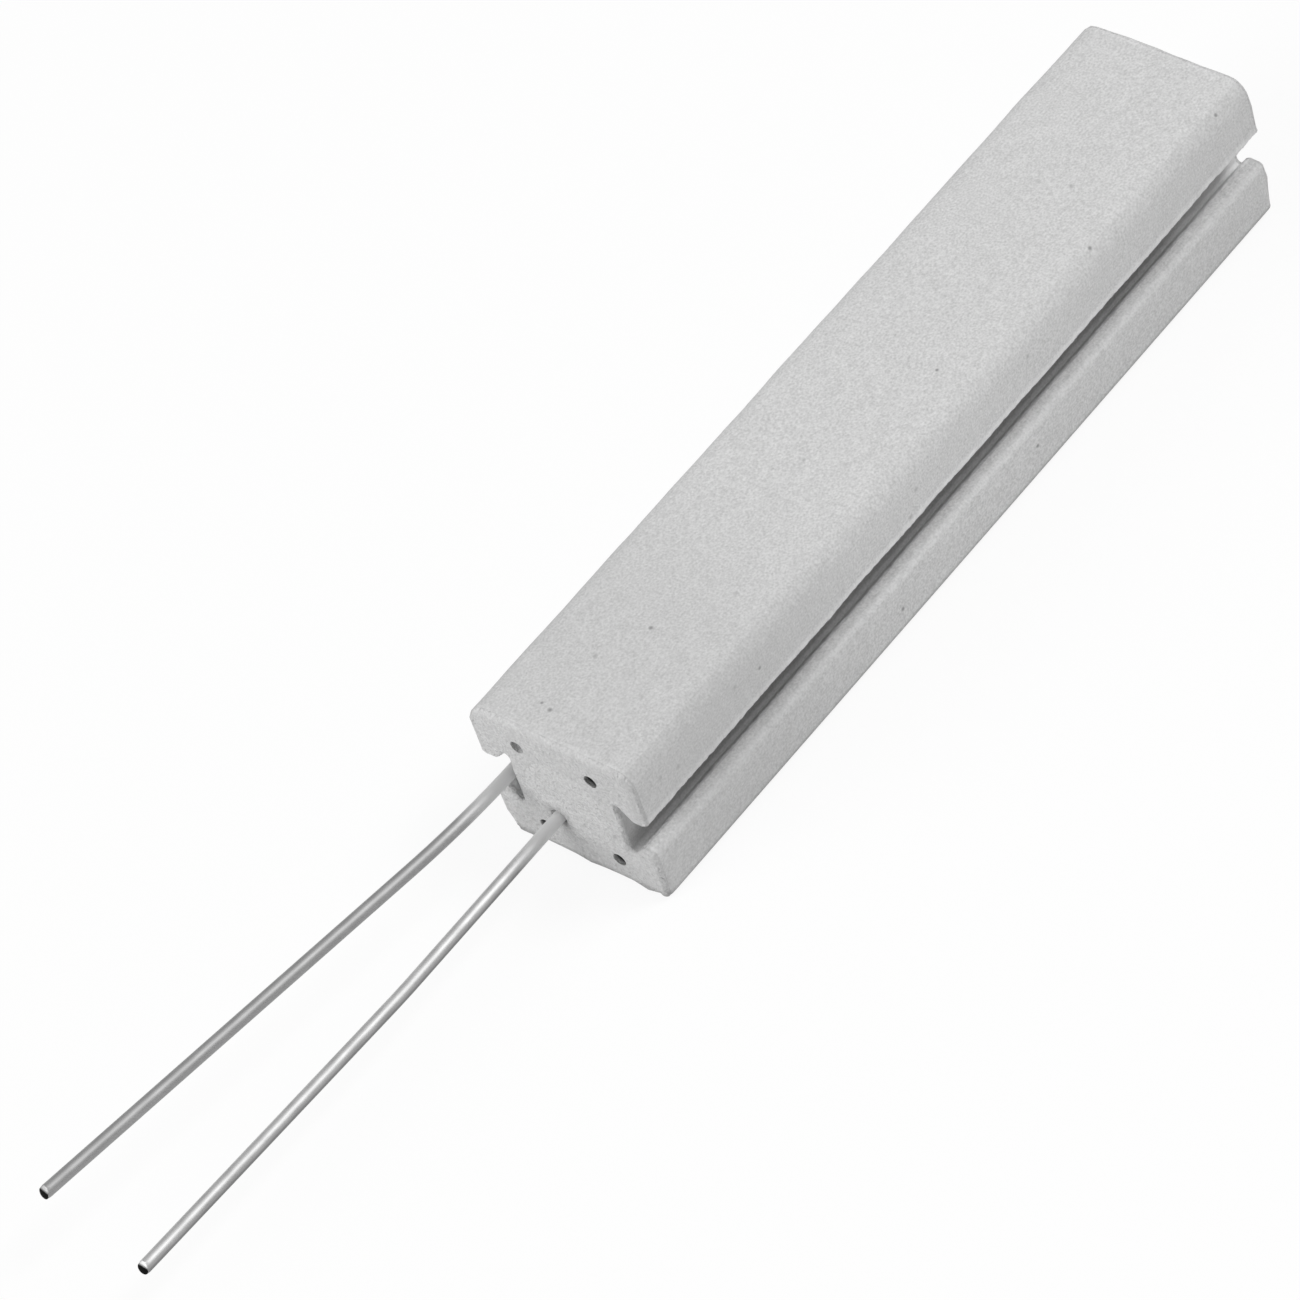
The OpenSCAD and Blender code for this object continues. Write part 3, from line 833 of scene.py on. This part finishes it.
grid = put(tree, "GeometryNodeMeshGrid", {
    "Size X": given["Hole Pitch H"], "Size Y": given["Hole Pitch W"], "Vertices X": 2, "Vertices Y": 2})
upright = put(tree, "GeometryNodeTransform", {
    "Geometry": grid.outputs["Mesh"], "Rotation": Euler((0, pi / 2, 0))})
hole_pin = pin(tree, given, start, end, given["Hole Radius"], given["Hole Flare"], hole_sides)
bore_pin = pin(tree, given, start, end, given["Bore Radius"], 0.0, bore_sides)
holes = put(tree, "GeometryNodeInstanceOnPoints", {"Points": upright.outputs[0], "Instance": hole_pin})
holes = put(tree, "GeometryNodeRealizeInstances", {"Geometry": holes.outputs[0]})
pierced = put(tree, "GeometryNodeMeshBoolean", {"Mesh 1": body}, operation="DIFFERENCE", solver="EXACT")
tree.links.new(holes.outputs[0], pierced.inputs["Mesh 2"])
tree.links.new(bore_pin, pierced.inputs["Mesh 2"])
raise_by = put(tree, "ShaderNodeCombineXYZ", {2: given["Axis Height"]})
raised = put(tree, "GeometryNodeTransform", {
    "Geometry": pierced.outputs["Mesh"], "Translation": raise_by.outputs[0]})
finish_tree(tree, raised.outputs[0], given["Material"], result)

ceramic_case = grow("fired_ceramic_case", section_outline(), tree, {
    "Half Length": half_len, "Stations": stations, "End Crowding": end_crowding, "Arc Points": arc_points,
    "End Rounding": end_edge_r, "Most Rounding": most_rounding, "End Ragged": end_ragged,
    "Base Wear": base_wear, "Wander": skin_wander, "Wander Size": wander_size, "Ripple": skin_ripple,
    "Ripple Size": ripple_size, "Lip Ragged": lip_ragged, "Lip Rag Size": lip_rag_size, "Axis Height": axis_z,
    "Bore Radius": bore_r, "Hole Radius": hole_d / 2, "Hole Flare": hole_flare, "Hole Pitch W": hole_pitch_w,
    "Hole Pitch H": hole_pitch_h, "Material": case_ceramic})
seat(ceramic_case, "ceramic_case")

# Cement
# A paste of mineral powder and silicate, poured round the element, levelled with both ends of the case and
# baked hard. It holds everything in place, and a small dimple is left where the first lead comes out.

cement_dark = (0.32, 0.32, 0.32)
cement_light = (0.90, 0.90, 0.90)
cement_roughness = (0.75, 0.95)
cement_relief = 0.03 * mm
cement, tree, shader = mineral_finish(
    "baked_cement", cement_dark, cement_light, pore_tone,
    {"Grain Size": 0.15 * mm, "Mottle Size": 0.7 * mm, "Pore Spacing": 0.9 * mm, "Pore Size": 0.12 * mm},
    cement_roughness, cement_relief)
place = in_object(tree)
relief(tree, shader, noise(tree, place, cut_size, 3.0), cut_relief)
# Painted shade: the cement's end is darker towards -Y too.
overlay(tree, shader, ramp(tree, axes(tree, place)[1], -half_w, half_w, end_shade_strength), grey_tone)

# The cement is darker, in patches, round the place where the first lead comes out.
exit_dark_tone = (0.22, 0.22, 0.22)
exit_dark_strength = 1.3
exit_dark_reach = 1.15 * mm
exit_dark_patch = 0.5 * mm
away = vector_maths(tree, "DISTANCE", place, (case_low.x, exit_side, exit_z))
exit_dark = ramp(tree, away, exit_dark_reach / 3, exit_dark_reach, exit_dark_strength)
overlay(tree, shader, product(tree, noise(tree, place, exit_dark_patch), exit_dark), exit_dark_tone)
dress("cement_filling", cement)

# Floor
# A wide pale sheet under the resistor. It reads as white, and keeps a faint trace of the shadow.

floor_half = 3.0
floor_drop = 0.01 * mm
floor_white = 0.9
floor_tone = (0.9, 0.9, 0.9)
paper_roughness = 0.9

floor_mesh = bpy.data.meshes.new("pale_floor")
floor_z = cad_box[0].z - floor_drop
floor_corners = ((-1, -1), (1, -1), (1, 1), (-1, 1))
floor_mesh.from_pydata(
    [(x * floor_half, y * floor_half, floor_z) for x, y in floor_corners], [], [(0, 1, 2, 3)])
floor = bpy.data.objects.new("pale_floor", floor_mesh)
bpy.context.scene.collection.objects.link(floor)
paper = bpy.data.materials.new("pale_paper")
paper.use_nodes = True
tree = paper.node_tree
matt = tree.nodes["Principled BSDF"]
matt.inputs["Base Color"].default_value = (*floor_tone, 1)
matt.inputs["Roughness"].default_value = paper_roughness
matt.inputs["Specular IOR Level"].default_value = 0.0
glow = put(tree, "ShaderNodeEmission", {"Color": (1, 1, 1, 1), "Strength": 1.0})
ray = put(tree, "ShaderNodeLightPath").outputs
seen = maths(tree, "MAXIMUM", maths(tree, "MAXIMUM", ray["Is Camera Ray"], ray["Is Glossy Ray"]),
             ray["Is Transmission Ray"])
white = put(tree, "ShaderNodeMixShader", {
    0: maths(tree, "MULTIPLY", seen, floor_white), 1: matt.outputs[0], 2: glow.outputs[0]})
tree.links.new(white.outputs[0], tree.nodes["Material Output"].inputs["Surface"])
floor_mesh.materials.append(paper)

# Light
# A soft box above the right side, whose shine runs along the leads, a wider one towards the lead end, and an
# even pale room.

box_distance = 0.75
boxes = [
    ("right_box", 0.3, (0.36, -0.41, 0.83), 2.75),
    ("lead_end_box", 0.6, (-0.8, 0.3, 0.44), 3.2),
]
room_tone = 0.355

for name, size, side, power in boxes:
    lamp = bpy.data.lights.new(name, "AREA")
    lamp.shape = "DISK"
    lamp.size = size
    lamp.energy = power
    holder = bpy.data.objects.new(name, lamp)
    toward = Vector(side).normalized()
    holder.location = toward * box_distance
    holder.rotation_euler = (-toward).to_track_quat("-Z", "Y").to_euler()
    bpy.context.scene.collection.objects.link(holder)

room = bpy.data.worlds.new("pale_room")
room.use_nodes = True
room.node_tree.nodes["Background"].inputs["Color"].default_value = (room_tone, room_tone, room_tone, 1)
bpy.context.scene.world = room

# Camera
# A long lens, high on the lead end's right, rolled so that the case runs up to the right.

lens = 209
view_aim = Vector((-19.3 * mm, 3.03 * mm, 5.75 * mm))
view_distance = 448.8 * mm
view_azimuth = radians(36.55)
view_elevation = radians(46.54)
view_roll = radians(-20.05)

view = bpy.data.cameras.new("camera")
view.lens = lens
camera = bpy.data.objects.new("camera", view)
toward = Vector((
    sin(view_azimuth) * cos(view_elevation), cos(view_azimuth) * cos(view_elevation), -sin(view_elevation)))
camera.location = view_aim - toward * view_distance
turn = toward.to_track_quat("-Z", "Y").to_matrix() @ Euler((0, 0, view_roll)).to_matrix()
camera.rotation_euler = turn.to_euler()
bpy.context.scene.collection.objects.link(camera)
bpy.context.scene.camera = camera
bpy.context.scene.view_settings.view_transform = "Standard"
